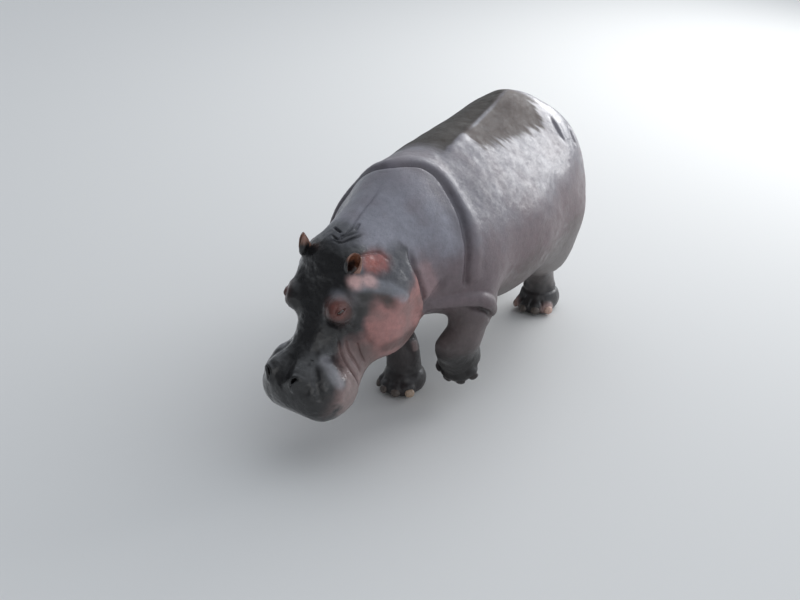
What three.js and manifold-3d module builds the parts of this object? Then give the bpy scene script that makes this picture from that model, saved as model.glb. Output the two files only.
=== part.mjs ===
// A life-size common hippopotamus, walking with its head lowered and its left forefoot lifted.
// Millimetres, +Z up. The animal faces -Y and its left side is +X. It is modelled as soft masses that
// run into each other, turned into a faceted solid, and parted with thin cuts where the body parts meet.
import * as THREE from "three";
import Module from "manifold-3d";
import { mergeVertices } from "three/addons/utils/BufferGeometryUtils.js";

const wasm = await Module();
wasm.setup();

// Driving dimensions.
const HIP_HEIGHT = 1375; // floor to the top of the croup
const TRUNK_HALF_WIDTH = 545;
const GAP = 0.6; // thin cut between two neighbouring parts
const FAR = 4000; // further than any part of the animal
const CELL = { trunk: 130, neck: 86, head: 59, leg: 72, foot: 42, ear: 15, tail: 40 };

// ---------------------------------------------------------------- soft masses
// A mass is a function of a point that is negative inside. Positions and radii are in millimetres.

const DEG = Math.PI / 180;

/** An ellipsoid about a centre, with an optional tilt in degrees about X, Y and Z. */
function ellipsoid([cx, cy, cz], [rx, ry, rz], [tx, ty, tz] = [0, 0, 0]) {
  const turn = new THREE.Matrix4().makeRotationFromEuler(new THREE.Euler(tx * DEG, ty * DEG, tz * DEG));
  const e = turn.transpose().elements;
  return (x, y, z) => {
    const dx = x - cx;
    const dy = y - cy;
    const dz = z - cz;
    const px = (e[0] * dx + e[4] * dy + e[8] * dz) / rx;
    const py = (e[1] * dx + e[5] * dy + e[9] * dz) / ry;
    const pz = (e[2] * dx + e[6] * dy + e[10] * dz) / rz;
    const reach = Math.hypot(px, py, pz);
    return (reach * (reach - 1)) / (Math.hypot(px / rx, py / ry, pz / rz) + 1e-9);
  };
}

/** A round limb from a to b whose radius runs from ra to rb, made `wide` times wider along X. */
function limb(a, b, ra, rb, wide = 1) {
  const [bx, by, bz] = [b[0] - a[0], b[1] - a[1], b[2] - a[2]];
  const lengthSq = bx * bx + by * by + bz * bz;
  return (x, y, z) => {
    const [px, py, pz] = [x - a[0], y - a[1], z - a[2]];
    const t = Math.min(1, Math.max(0, (px * bx + py * by + pz * bz) / lengthSq));
    return Math.hypot((px - t * bx) / wide, py - t * by, pz - t * bz) - (ra + t * (rb - ra));
  };
}

/** Two masses run into each other over a width `soft`. */
function join(a, b, soft) {
  return (x, y, z) => {
    const u = a(x, y, z);
    const v = b(x, y, z);
    const h = Math.max(soft - Math.abs(u - v), 0);
    return Math.min(u, v) - (h * h) / (4 * soft);
  };
}

/** Mass a without mass b, with an edge rounded over a width `soft`. */
function carve(a, b, soft) {
  const kept = join((x, y, z) => -a(x, y, z), b, soft);
  return (x, y, z) => -kept(x, y, z);
}

/** Joins a list of [mass, softness] to a first mass. */
const blend = (first, ...rest) => rest.reduce((sum, [mass, soft]) => join(sum, mass, soft), first);

/** The same mass on both sides of the midline. */
const pair = (mass) => (x, y, z) => Math.min(mass(x, y, z), mass(-x, y, z));

/** A mass made narrower towards its top, down to `share` of its width between two heights. */
function crested(mass, from, to, share) {
  return (x, y, z) => {
    const t = Math.min(1, Math.max(0, (z - from) / (to - from)));
    const width = 1 - (1 - share) * t * t;
    return mass(x / width, y, z) * width;
  };
}

/** A mass that is described in the frame `matrix`. */
function posed(mass, matrix) {
  const m = matrix.clone().invert().elements;
  return (x, y, z) =>
    mass(
      m[0] * x + m[4] * y + m[8] * z + m[12],
      m[1] * x + m[5] * y + m[9] * z + m[13],
      m[2] * x + m[6] * y + m[10] * z + m[14],
    );
}

/** A frame at a point, turned in degrees: first rolled about Y, then pitched about X, then headed about Z. */
function frameAt([x, y, z], { pitch = 0, heading = 0, roll = 0 } = {}) {
  const turn = new THREE.Euler(pitch * DEG, roll * DEG, heading * DEG, "ZXY");
  return new THREE.Matrix4().makeRotationFromEuler(turn).setPosition(x, y, z);
}

// ---------------------------------------------------------------- from masses to solids

// A cube of the sampling grid: its corners, and its edges as pairs of corners, which differ in one bit.
const CORNERS = [0, 1, 2, 3, 4, 5, 6, 7].map((c) => [c & 1, (c >> 1) & 1, c >> 2]);
const EDGES = CORNERS.flatMap((_, c) => [1, 2, 4].filter((bit) => !(c & bit)).map((bit) => [c, c | bit]));
const edgeBetween = (a, b) => EDGES.findIndex(([p, q]) => (p === a && q === b) || (p === b && q === a));
const SIDES = [0, 1, 2].flatMap((axis) =>
  [0, 1].map((end) => {
    const [u, w] = [1 << (axis + 1) % 3, 1 << (axis + 2) % 3];
    const ring = [0, u, u | w, w].map((c) => c | (end << axis));
    return ring.map((corner, n) => ({
      corner,
      before: edgeBetween(corner, ring[(n + 3) % 4]),
      after: edgeBetween(corner, ring[(n + 1) % 4]),
    }));
  }),
);

/** The crossed edges of a cube, in groups that one sheet of the surface passes through. */
function sheets(inside) {
  const group = EDGES.map(([a, b], n) => (inside[a] === inside[b] ? -1 : n));
  const merge = (m, n) => {
    const [from, to] = [group[m], group[n]];
    for (let e = 0; e < group.length; e++) if (group[e] === from) group[e] = to;
  };
  for (const side of SIDES) {
    const crossed = side.filter(({ after }) => group[after] >= 0);
    if (crossed.length === 2) merge(crossed[0].after, crossed[1].after);
    else if (crossed.length === 4)
      for (const { corner, before, after } of side) if (inside[corner]) merge(before, after);
  }
  return group;
}

/** The closed surface of a mass inside a box, as a BufferGeometry of faces about `cell` wide. */
function surfaceOf(mass, box, cell) {
  const size = box.getSize(new THREE.Vector3());
  const [nx, ny, nz] = [size.x, size.y, size.z].map((s) => Math.ceil(s / cell) + 2);
  const { x: x0, y: y0, z: z0 } = box.min;
  const steps = [1, nx, nx * ny];
  const value = new Float64Array(nx * ny * nz);
  for (let k = 0, n = 0; k < nz; k++)
    for (let j = 0; j < ny; j++)
      for (let i = 0; i < nx; i++, n++) {
        const rim = i === 0 || j === 0 || k === 0 || i === nx - 1 || j === ny - 1 || k === nz - 1;
        value[n] = rim ? cell : mass(x0 + i * cell, y0 + j * cell, z0 + k * cell);
      }
  const points = [];
  const vertexOn = new Map(); // cube and edge to the vertex of the sheet that crosses it there
  for (let k = 0; k < nz - 1; k++)
    for (let j = 0; j < ny - 1; j++)
      for (let i = 0; i < nx - 1; i++) {
        const cube = i + j * steps[1] + k * steps[2];
        const v = CORNERS.map(([a, b, c]) => value[cube + a + b * steps[1] + c * steps[2]]);
        const inside = v.map((d) => d < 0);
        if (inside.every((d) => d === inside[0])) continue;
        const group = sheets(inside);
        for (const sheet of new Set(group.filter((n) => n >= 0))) {
          const crossed = EDGES.map((_, n) => n).filter((n) => group[n] === sheet);
          const mean = [i, j, k];
          for (const [a, b] of crossed.map((n) => EDGES[n])) {
            const t = v[a] / (v[a] - v[b]);
            for (let d = 0; d < 3; d++)
              mean[d] += (CORNERS[a][d] + t * (CORNERS[b][d] - CORNERS[a][d])) / crossed.length;
          }
          for (const n of crossed) vertexOn.set(cube * EDGES.length + n, points.length / 3);
          points.push(...settle(mass, x0 + mean[0] * cell, y0 + mean[1] * cell, z0 + mean[2] * cell, cell));
        }
      }
  const faces = [];
  for (let k = 0; k < nz - 1; k++)
    for (let j = 0; j < ny - 1; j++)
      for (let i = 0; i < nx - 1; i++)
        for (let d = 0; d < 3; d++) {
          const here = i + j * steps[1] + k * steps[2];
          const inside = value[here] < 0;
          if (inside === value[here + steps[d]] < 0) continue;
          const [u, w] = [(d + 1) % 3, (d + 2) % 3];
          const ring = [[0, 0], [1, 0], [1, 1], [0, 1]].map(([p, q]) => {
            const corner = (p << u) | (q << w);
            const edge = edgeBetween(corner, corner | (1 << d));
            return vertexOn.get((here - p * steps[u] - q * steps[w]) * EDGES.length + edge);
          });
          if (!inside) ring.reverse();
          faces.push(ring[0], ring[1], ring[2], ring[0], ring[2], ring[3]);
        }
  const geometry = new THREE.BufferGeometry();
  geometry.setAttribute("position", new THREE.Float32BufferAttribute(evened(points, faces, mass, cell), 3));
  geometry.setIndex(faces);
  return geometry;
}

/** Slides the vertices along the surface towards the middle of their neighbours, for even faces. */
function evened(points, faces, mass, cell) {
  let now = points;
  for (let pass = 0; pass < 4; pass++) {
    const sum = new Float64Array(points.length);
    const count = new Float64Array(points.length / 3);
    for (let n = 0; n < faces.length; n++) {
      const [a, b] = [faces[n], faces[n % 3 === 2 ? n - 2 : n + 1]];
      for (let d = 0; d < 3; d++) sum[3 * a + d] += now[3 * b + d];
      count[a]++;
    }
    const next = [];
    for (let v = 0; v < count.length; v++) {
      const [x, y, z] = [0, 1, 2].map((d) => (now[3 * v + d] + sum[3 * v + d] / count[v]) / 2);
      next.push(...settle(mass, x, y, z, cell));
    }
    now = next;
  }
  return now;
}

/** Moves a point onto the surface of a mass, by less than half a cell. */
function settle(mass, x, y, z, cell) {
  const h = cell / 20;
  const start = [x, y, z];
  for (let pass = 0; pass < 3; pass++) {
    const here = mass(x, y, z);
    const ahead = [mass(x + h, y, z), mass(x, y + h, z), mass(x, y, z + h)];
    const slope = ahead.map((value) => (value - here) / h);
    const push = here / (slope[0] ** 2 + slope[1] ** 2 + slope[2] ** 2 + 1e-6);
    x -= push * slope[0];
    y -= push * slope[1];
    z -= push * slope[2];
  }
  const moved = Math.hypot(x - start[0], y - start[1], z - start[2]);
  return moved < cell / 2 ? [x, y, z] : start;
}

/** A closed geometry as a solid that can be cut and joined. */
function solid(geometry) {
  const vertProperties = new Float32Array(geometry.getAttribute("position").array);
  const triVerts = new Uint32Array(geometry.index.array);
  return new wasm.Manifold(new wasm.Mesh({ numProp: 3, vertProperties, triVerts }));
}

const solidOf = (mass, box, cell) => solid(surfaceOf(mass, box, cell));

// ---------------------------------------------------------------- cutting tools

/** A three.js geometry with its shared corners merged, so that it can become a solid. */
function closed(geometry) {
  geometry.deleteAttribute("normal");
  geometry.deleteAttribute("uv");
  return mergeVertices(geometry, 1e-3);
}

/** A block between two corners, grown on every side by `grow`. */
function block([x0, y0, z0], [x1, y1, z1], grow = 0) {
  const box = new THREE.BoxGeometry(x1 - x0 + 2 * grow, y1 - y0 + 2 * grow, z1 - z0 + 2 * grow);
  return solid(closed(box.translate((x0 + x1) / 2, (y0 + y1) / 2, (z0 + z1) / 2)));
}

/** Everything on the side of a plane that `normal` points to, grown by `grow`. */
function halfSpace(point, normal, grow = 0) {
  const facing = new THREE.Vector3(...normal).normalize();
  const turn = new THREE.Quaternion().setFromUnitVectors(new THREE.Vector3(0, 0, 1), facing);
  const start = new THREE.Vector3(...point).addScaledVector(facing, -grow);
  const box = new THREE.BoxGeometry(2 * FAR, 2 * FAR, 2 * FAR).translate(0, 0, FAR);
  return solid(closed(box.applyQuaternion(turn).translate(start.x, start.y, start.z)));
}

/** An egg with this many sides, tilted about X and turned about Z in degrees. */
function egg(centre, [rx, ry, rz], sides, [tilt, turn] = [0, 0]) {
  const ball = closed(new THREE.SphereGeometry(1, sides, sides / 2)).scale(rx, ry, rz);
  return solid(ball.rotateX(tilt * DEG).rotateZ(turn * DEG).translate(...centre));
}

/** The largest of the separate bodies of a solid. */
const largest = (made) => made.decompose().reduce((a, b) => (b.volume() > a.volume() ? b : a));

/** A mass as it is seen from a frame. */
function seenFrom(frame, mass) {
  const m = frame.elements;
  return (x, y, z) =>
    mass(
      m[0] * x + m[4] * y + m[8] * z + m[12],
      m[1] * x + m[5] * y + m[9] * z + m[13],
      m[2] * x + m[6] * y + m[10] * z + m[14],
    );
}

const placed = (made, frame) => made.transform(frame.elements);
const mirrored = ([x, y, z]) => [-x, y, z];

// ---------------------------------------------------------------- trunk

const trunkMass = crested(
  blend(
    ellipsoid([0, -260, 905], [TRUNK_HALF_WIDTH * 0.88, 480, 425]), // ribs
    [ellipsoid([0, 190, 830], [TRUNK_HALF_WIDTH, 620, 500]), 200], // belly
    [ellipsoid([0, 630, 890], [TRUNK_HALF_WIDTH * 0.86, 430, 440]), 200], // rump
    [limb([0, -380, 1180], [0, 640, 1180], 150, 145, 1.3), 160], // spine
    [ellipsoid([0, 740, HIP_HEIGHT - 178], [160, 240, 158]), 150], // croup
    [pair(ellipsoid([205, 810, 990], [225, 255, 285])), 120], // haunches
    [pair(ellipsoid([285, -385, 860], [185, 205, 255])), 130], // shoulders
    [pair(ellipsoid([262, 670, 700], [192, 260, 370])), 160], // thighs
  ),
  650,
  HIP_HEIGHT,
  0.74,
);

// ---------------------------------------------------------------- neck and head

const HEAD_JOINT = [-53, -951, 968];
const HEAD_FRAME = frameAt(HEAD_JOINT, { pitch: 48.5, heading: -11.6 });

const neckMass = blend(
  limb([0, -560, 1082], [-64, -950, 998], 278, 190, 0.88),
  [limb([0, -540, 875], [-40, -900, 800], 325, 265, 1.05), 100], // throat
);

// In the head's own frame: origin at the joint with the neck, the muzzle towards -Y, the crown up.
const EYE = [181, -263, 120];
const EYE_RADIUS = 23;
const NOSTRIL = [85, -672, 82];
const EAR = [165, -48, 172];
const EAR_LEAN = { left: 26, right: 6 }; // outwards, in degrees

const headMass = blend(
  ellipsoid([0, -60, 0], [200, 200, 155]), // braincase
  [ellipsoid([0, -230, 30], [150, 160, 85]), 80], // forehead
  [pair(ellipsoid([146, -255, 92], [62, 82, 62])), 60], // eye sockets
  [pair(ellipsoid([155, -32, 116], [46, 50, 42])), 50], // roots of the ears
  [pair(limb([165, -190, 10], [215, -20, -90], 75, 110)), 80], // cheek bones
  [limb([0, -250, -30], [0, -560, -40], 115, 115, 1.15), 80], // snout
  [ellipsoid([0, -655, -70], [188, 148, 125]), 100], // muzzle
  [ellipsoid([0, -685, -20], [140, 105, 90]), 60], // nose
  [pair(ellipsoid([138, -655, -125], [103, 145, 150])), 90], // lips
  [pair(ellipsoid([80, -635, 48], [52, 75, 42])), 50], // nostril rims
  [limb([0, -600, -215], [0, -300, -225], 120, 120, 1.68), 60], // lower jaw
  [ellipsoid([0, -620, -215], [190, 110, 90]), 60], // chin
  [pair(ellipsoid([165, -165, -270], [130, 195, 185])), 90], // jowls
);

const bodyMass = blend(trunkMass, [neckMass, 150], [posed(headMass, HEAD_FRAME), 110]);

// ---------------------------------------------------------------- legs and feet

const TOE_ANGLES = { inner: -50, second: -17, third: 17, outer: 50 }; // of a left foot, from straight ahead
const TOE_REACH = 92; // ankle axis to the middle of a toe
const ANKLE = 155; // sole to the cut between foot and leg

/** A foot in its own frame: sole on z = 0, ankle above the origin, toes towards -Y. */
const footMass = blend(
  limb([0, 12, 230], [0, 0, 90], 76, 107, 1.05),
  [ellipsoid([0, 20, 48], [112, 112, 75]), 50],
  ...Object.values(TOE_ANGLES).map((angle) => [toeMass(angle), 24]),
);

function toeMass(angle) {
  const [side, ahead] = [Math.sin(angle * DEG), Math.cos(angle * DEG)];
  return ellipsoid([side * TOE_REACH, -ahead * TOE_REACH, 40], [36, 58, 46], [0, 0, angle]);
}

const FORELEG_CUT = 107; // X of the cut between the two forelegs

/**
 * Each leg: its side of the body (left is 1), its axis from shoulder or hip by elbow or knee to wrist or
 * hock, its radii there, its foot's frame, the box it is cut out in, the sloping cut at its top, and how
 * softly it runs into the trunk.
 */
const LEGS = {
  foreleg_right: {
    side: -1,
    axis: [[-250, -400, 780], [-190, -430, 500], [-50, -440, 230]],
    radii: [190, 150, 92],
    foot: frameAt([-38, -450, 0], { heading: -8 }),
    region: [[-620, -660, -60], [FORELEG_CUT, -215, 620]],
    top: [[-130, 0, 385], [-0.42, 0, -1]],
    soft: 110,
  },
  foreleg_left: {
    side: 1,
    axis: [[345, -360, 800], [378, -395, 600], [334, -450, 400]],
    radii: [150, 108, 102],
    foot: frameAt([274, -340, 215], { pitch: 55 }),
    region: [[FORELEG_CUT + GAP, -610, -60], [640, -215, 720]],
    top: [[180, 0, 520], [0.42, 0, -1]],
    soft: 60,
  },
  hindleg_left: {
    side: 1,
    axis: [[270, 700, 700], [235, 690, 460], [170, 800, 220]],
    radii: [200, 135, 66],
    foot: frameAt([180, 812, 0]),
    region: [[20, 480, -60], [640, 1200, 640]],
    top: [[100, 0, 400], [0.42, 0, -1]],
    soft: 110,
  },
  hindleg_right: {
    side: -1,
    axis: [[-270, 740, 700], [-255, 790, 460], [-225, 930, 220]],
    radii: [200, 140, 72],
    foot: frameAt([-225, 930, 0]),
    region: [[-640, 480, -60], [-20, 1200, 640]],
    top: [[-100, 0, 400], [-0.42, 0, -1]],
    soft: 110,
  },
};

const legMass = ({ axis: [top, mid, low], radii, foot }) =>
  blend(
    limb(top, mid, radii[0], radii[1]),
    [limb(mid, low, radii[1], radii[2]), 60],
    [posed(footMass, foot), 50],
  );

const wholeMass = blend(bodyMass, ...Object.values(LEGS).map((leg) => [legMass(leg), leg.soft]));

const tailMass = blend(
  limb([0, 1020, 1015], [0, 1098, 965], 66, 50),
  [limb([0, 1098, 965], [0, 1122, 660], 48, 24, 0.66), 40],
);

// ---------------------------------------------------------------- parting the body

const NECK_CUT = -565; // Y of the cut in front of the shoulders
const HEAD_CUT = [[0, 75, 0], [0, -1, 0.4]]; // behind the ears and jowls, in the head's frame
const HEAD_FLOOR = -480; // under the jowls, along Z of the head's frame

const between = (front, back) => block([-FAR, front, -FAR], [FAR, back, FAR]);
const legRegion = ({ region, top }, grow = 0) => block(...region, grow).intersect(halfSpace(...top, grow));
const headRegion = (grow = 0) =>
  block([-600, -1200, HEAD_FLOOR], [600, 600, 600], grow).intersect(halfSpace(...HEAD_CUT, grow));

/** Flesh of the whole animal inside a box given by two corners. */
function flesh(low, high, cell, mass = wholeMass) {
  return solidOf(mass, new THREE.Box3(new THREE.Vector3(...low), new THREE.Vector3(...high)), cell);
}

function withoutLegs(made) {
  return Object.values(LEGS).reduce((rest, leg) => rest.subtract(legRegion(leg, GAP)), made);
}

function trunk() {
  const body = flesh([-750, -900, 250], [750, 1400, 1500], CELL.trunk);
  const behind = body.intersect(between(NECK_CUT, FAR));
  return largest(withoutLegs(behind).subtract(tail(6)));
}

function neck() {
  const front = flesh([-600, -1450, 250], [600, -350, 1500], CELL.neck);
  const ahead = front.intersect(between(-FAR, NECK_CUT - GAP));
  return largest(withoutLegs(ahead).subtract(placed(headRegion(GAP), HEAD_FRAME)));
}

/** The tail with its root, which sits in a socket of the rump. */
function tail(grow = 0) {
  return flesh([-160, 900, 560], [160, 1280, 1130], CELL.tail, (x, y, z) => tailMass(x, y, z) - grow);
}

// The mouth line as [Y, Z] of the head's frame: from under the upper lip back and up to the corner of the
// mouth, then along the top of the jowl.
const MOUTH_LINE = [
  [-1000, -232],
  [-640, -226],
  [-540, -190],
  [-455, -75],
  [-380, -40],
  [-300, -95],
  [-180, -120],
  [300, -120],
];

/** Everything of the head that is below the mouth line. */
function jawPrism(grow = 0) {
  const [front, back, under, halfWidth] = [-1000, 300, -900, 500];
  const outline = new THREE.Shape([
    new THREE.Vector2(front, under),
    ...MOUTH_LINE.map(([y, z]) => new THREE.Vector2(y, z + grow)),
    new THREE.Vector2(back, under),
  ]);
  const prism = new THREE.ExtrudeGeometry(outline, { depth: 2 * halfWidth, bevelEnabled: false, steps: 1 });
  const axes = new THREE.Matrix4().set(0, 0, 1, -halfWidth, 1, 0, 0, 0, 0, 1, 0, 0, 0, 0, 0, 1);
  return solid(closed(prism.applyMatrix4(axes)));
}

const headFlesh = flesh([-460, -920, -620], [460, 160, 330], CELL.head, seenFrom(HEAD_FRAME, wholeMass));
const eyeball = (centre, grow = 0) => egg(centre, Array(3).fill(EYE_RADIUS + grow), 12);
const nostrilPit = (centre) => egg(centre, [13, 26, 24], 8, [40, centre[0] > 0 ? -25 : 25]);

/** The frame of an ear: its foot on the scalp, its tip up, its opening forwards and outwards. */
const earFrame = (side) =>
  frameAt([side * EAR[0], EAR[1], EAR[2]], { pitch: -45 }).multiply(
    frameAt([0, 0, 0], { heading: side * 42, roll: side > 0 ? EAR_LEAN.left : -EAR_LEAN.right }),
  );

function earRoot(side, grow = 0) {
  return placed(egg([0, 0, 4], [25 + grow, 21 + grow, 36 + grow], 10), earFrame(side));
}

function head() {
  const sides = [1, -1];
  let made = headFlesh.intersect(headRegion()).subtract(jawPrism(GAP));
  for (const side of sides) {
    const at = (point) => (side > 0 ? point : mirrored(point));
    const hollows = [eyeball(at(EYE), GAP), nostrilPit(at(NOSTRIL)), earRoot(side, GAP)];
    for (const hollow of hollows) made = made.subtract(hollow);
  }
  return placed(largest(made), HEAD_FRAME);
}

const lowerJaw = () => placed(largest(headFlesh.intersect(headRegion()).intersect(jawPrism())), HEAD_FRAME);

/** An ear: a thick cup on a root that sits in a socket of the scalp. */
function ear(side) {
  const cup = carve(ellipsoid([0, 0, 66], [35, 25, 56]), ellipsoid([0, -20, 66], [23, 21, 40]), 5);
  const made = flesh([-60, -60, -10], [60, 60, 150], CELL.ear, cup);
  return placed(placed(made, earFrame(side)).add(earRoot(side)), HEAD_FRAME);
}

const eye = (side) => placed(eyeball(side > 0 ? EYE : mirrored(EYE)), HEAD_FRAME);

const footRegion = (bottom, grow = 0) => block([-200, -220, bottom], [200, 170, ANKLE], grow);

function leg(spec) {
  const [low, high] = spec.region;
  const around = flesh(low.map((v) => v - 2 * CELL.leg), high.map((v) => v + 2 * CELL.leg), CELL.leg);
  const below = placed(footRegion(-600, GAP), spec.foot);
  return largest(around.intersect(legRegion(spec)).subtract(below));
}

const NAIL = [24, 11, 22]; // half width, half thickness, half height

/** A nail in its foot's frame, on the front of the toe at this angle. */
function nail(angle, grow = 0) {
  const reach = TOE_REACH + 49;
  const centre = [Math.sin(angle * DEG) * reach, -Math.cos(angle * DEG) * reach, 34];
  return egg(centre, NAIL.map((r) => r + grow), 8, [-20, angle]);
}

function foot(spec) {
  const around = flesh([-230, -240, -60], [230, 220, 260], CELL.foot, seenFrom(spec.foot, wholeMass));
  const bare = Object.values(TOE_ANGLES).reduce((made, angle) => made.subtract(nail(angle, GAP)), around);
  return largest(placed(bare.intersect(footRegion(0)), spec.foot).intersect(legRegion(spec)));
}

// ---------------------------------------------------------------- the model

const HIDE = { color: 0x6b6468, roughness: 0.45, metalness: 0 };
const FACE = { color: 0x3b3639, roughness: 0.4, metalness: 0 };
const JOWL = { color: 0xb08078, roughness: 0.5, metalness: 0 };
const EAR_SKIN = { color: 0x9c5a4a, roughness: 0.55, metalness: 0 };
const SHANK = { color: 0x4d484a, roughness: 0.5, metalness: 0 };
const HORN = { color: 0x9a8c80, roughness: 0.5, metalness: 0 };
const EYEBALL = { color: 0x1a100c, roughness: 0.1, metalness: 0 };

const hippo = new THREE.Group();

function addPart(name, made, look) {
  const { vertProperties, triVerts } = made.getMesh();
  const geometry = new THREE.BufferGeometry();
  geometry.setAttribute("position", new THREE.Float32BufferAttribute(vertProperties, 3));
  geometry.setIndex(new THREE.BufferAttribute(triVerts, 1));
  const mesh = new THREE.Mesh(geometry, new THREE.MeshStandardMaterial(look));
  mesh.name = name;
  hippo.add(mesh);
}

addPart("trunk", trunk(), HIDE);
addPart("neck", neck(), HIDE);
addPart("tail", tail(), HIDE);
addPart("head", head(), FACE);
addPart("lower_jaw", lowerJaw(), JOWL);
for (const [name, side] of [["left", 1], ["right", -1]]) {
  addPart(`ear_${name}`, ear(side), EAR_SKIN);
  addPart(`eye_${name}`, eye(side), EYEBALL);
}
for (const [name, spec] of Object.entries(LEGS)) {
  addPart(name, leg(spec), SHANK);
  const footName = name.replace("leg", "foot");
  addPart(footName, foot(spec), SHANK);
  for (const [toe, angle] of Object.entries(TOE_ANGLES)) {
    addPart(`${footName}_nail_${toe}`, placed(nail(spec.side * angle), spec.foot), HORN);
  }
}

// Origin on the floor, under the middle of the animal.
const bounds = new THREE.Box3().setFromObject(hippo);
const middle = bounds.getCenter(new THREE.Vector3());
hippo.position.set(-middle.x, -middle.y, -bounds.min.z);

export default hippo;
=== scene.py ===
"""A life-size common hippopotamus with wet, bare skin, walking with its head lowered.

Metres, +Z up. The animal faces -Y and its left side is +X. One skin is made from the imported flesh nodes,
smoothed, and then sculpted with folds, rolls and bumps that are placed along named curves.
"""

import itertools
import math

import bmesh
import bpy
import numpy as np
from mathutils import Matrix, Vector, kdtree


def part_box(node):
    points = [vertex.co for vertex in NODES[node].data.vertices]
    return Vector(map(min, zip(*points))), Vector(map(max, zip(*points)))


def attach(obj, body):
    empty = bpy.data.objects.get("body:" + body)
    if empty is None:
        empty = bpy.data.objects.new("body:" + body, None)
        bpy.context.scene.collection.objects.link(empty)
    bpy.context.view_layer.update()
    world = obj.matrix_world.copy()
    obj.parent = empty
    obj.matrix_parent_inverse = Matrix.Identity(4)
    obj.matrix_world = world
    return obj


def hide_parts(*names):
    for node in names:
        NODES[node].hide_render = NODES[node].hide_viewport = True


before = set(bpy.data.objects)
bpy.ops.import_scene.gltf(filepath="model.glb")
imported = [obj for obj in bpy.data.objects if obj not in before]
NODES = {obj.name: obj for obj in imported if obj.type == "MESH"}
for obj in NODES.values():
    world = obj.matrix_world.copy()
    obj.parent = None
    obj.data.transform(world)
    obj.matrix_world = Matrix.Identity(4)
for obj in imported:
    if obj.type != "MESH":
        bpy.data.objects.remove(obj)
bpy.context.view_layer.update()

# ---------------------------------------------------------------- places on the animal


def centre(node):
    """The middle of a node's box."""
    low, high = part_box(node)
    return np.array((low + high) / 2)


def unit(vector):
    vector = np.asarray(vector, float)
    return vector / np.linalg.norm(vector)


def turned(pitch, heading=0.0, roll=0.0):
    """A turn about Y, then X, then Z, in degrees, as a 3 x 3 array."""
    x, y, z = (np.array(Matrix.Rotation(math.radians(angle), 3, axis))
               for angle, axis in ((pitch, "X"), (roll, "Y"), (heading, "Z")))
    return z @ x @ y


EYE = np.array([0.181, -0.263, 0.120])  # the left eye in the head's own frame: muzzle -Y, crown +Z
BETWEEN_EYES = (centre("eye_left") + centre("eye_right")) / 2
EYE_AXIS = centre("eye_left") - centre("eye_right")
HEAD_HEADING = math.degrees(math.atan2(EYE_AXIS[1], EYE_AXIS[0]))
HEAD_PITCH = 48.5  # how far the muzzle points down, in degrees
HEAD_TURN = turned(HEAD_PITCH, HEAD_HEADING)
HEAD_ORIGIN = BETWEEN_EYES - HEAD_TURN @ (EYE * [0, 1, 1])


def in_head(points):
    """Points of the shared frame in the head's own frame."""
    return (points - HEAD_ORIGIN) @ HEAD_TURN


def from_head(*points):
    """Points of the head's own frame in the shared frame."""
    return np.array(points) @ HEAD_TURN.T + HEAD_ORIGIN


# ---------------------------------------------------------------- small tools for shapes


def ramp(value, start, end):
    """0 at start and 1 at end, with soft ends."""
    t = np.clip((value - start) / (end - start), 0, 1)
    return t * t * (3 - 2 * t)


def blob(points, middle, radii):
    """1 at the middle, fading to nothing at about twice these radii."""
    return np.exp(-(((points - middle) / radii) ** 2).sum(1))


def clouds(points, size, seed=0):
    """Smooth noise from -1 to 1 whose blobs are about `size` across. `size` may be one number or three."""
    place = points / size + 17.3 * seed
    cell = np.floor(place).astype(np.int64)
    part = place - cell
    part = part * part * (3 - 2 * part)
    total = np.zeros(len(points))
    for corner in itertools.product((0, 1), repeat=3):
        key = (cell + corner) @ np.array([73856093, 19349663, 83492791]) + 7919 * seed
        key = (key ^ (key >> 13)) * 1274126177
        value = ((key ^ (key >> 16)) & 0xFFFF) / 0x8000 - 1
        total += value * np.where(corner, part, 1 - part).prod(1)
    return total


def curve(points, step=0.008):
    """A smooth curve through these points, sampled about every `step`."""
    ends = [2 * points[0] - points[1], *points, 2 * points[-1] - points[-2]]
    samples = []
    for a, b, c, d in zip(ends, ends[1:], ends[2:], ends[3:]):
        count = max(2, round(np.linalg.norm(c - b) / step))
        t = (np.arange(count) / count)[:, None]
        samples.append(b + t / 2 * (c - a + t * (2 * a - 5 * b + 4 * c - d + t * (3 * (b - c) + d - a))))
    return np.concatenate([*samples, [points[-1]]])


def beside(points, path, reach):
    """The points within reach of a path: index, offset from the path, and share of the way along it."""
    index = np.flatnonzero(((points > path.min(0) - reach) & (points < path.max(0) + reach)).all(1))
    near = points[index]
    best = np.full(len(near), np.inf)
    which = np.zeros(len(near), int)
    for n, sample in enumerate(path):
        gap = ((near - sample) ** 2).sum(1)
        closer = gap < best
        best[closer] = gap[closer]
        which[closer] = n
    along = np.gradient(path, axis=0)
    spacing = np.linalg.norm(along, axis=1)
    along /= spacing[:, None]
    offset = near - path[which]
    slide = np.clip((offset * along[which]).sum(1), -spacing[which], spacing[which])
    offset -= slide[:, None] * along[which]
    way = (which + slide / spacing[which]) / (len(path) - 1)
    kept = (offset ** 2).sum(1) < reach ** 2
    return index[kept], offset[kept], way[kept]


# ---------------------------------------------------------------- the skin's mesh

FLESH_FACE = 0.012  # the size of a face of the joined flesh, before it is smoothed
SKIN_FACE = 0.005  # the size of a face of the skin that is sculpted
NAIL_FACE = 0.0025


def new_piece(name, mesh):
    piece = bpy.data.objects.new(name, mesh)
    bpy.context.scene.collection.objects.link(piece)
    return piece


def applied(piece):
    """A piece's mesh with its modifiers applied, which then replaces its own mesh."""
    shown = piece.evaluated_get(bpy.context.evaluated_depsgraph_get())
    mesh = bpy.data.meshes.new_from_object(shown)
    piece.modifiers.clear()
    piece.data = mesh
    return mesh


def remesh(piece, size):
    """One closed surface of even faces around everything in the piece."""
    even = piece.modifiers.new("even", "REMESH")
    even.mode = "VOXEL"
    even.voxel_size = size
    return applied(piece)


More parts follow.
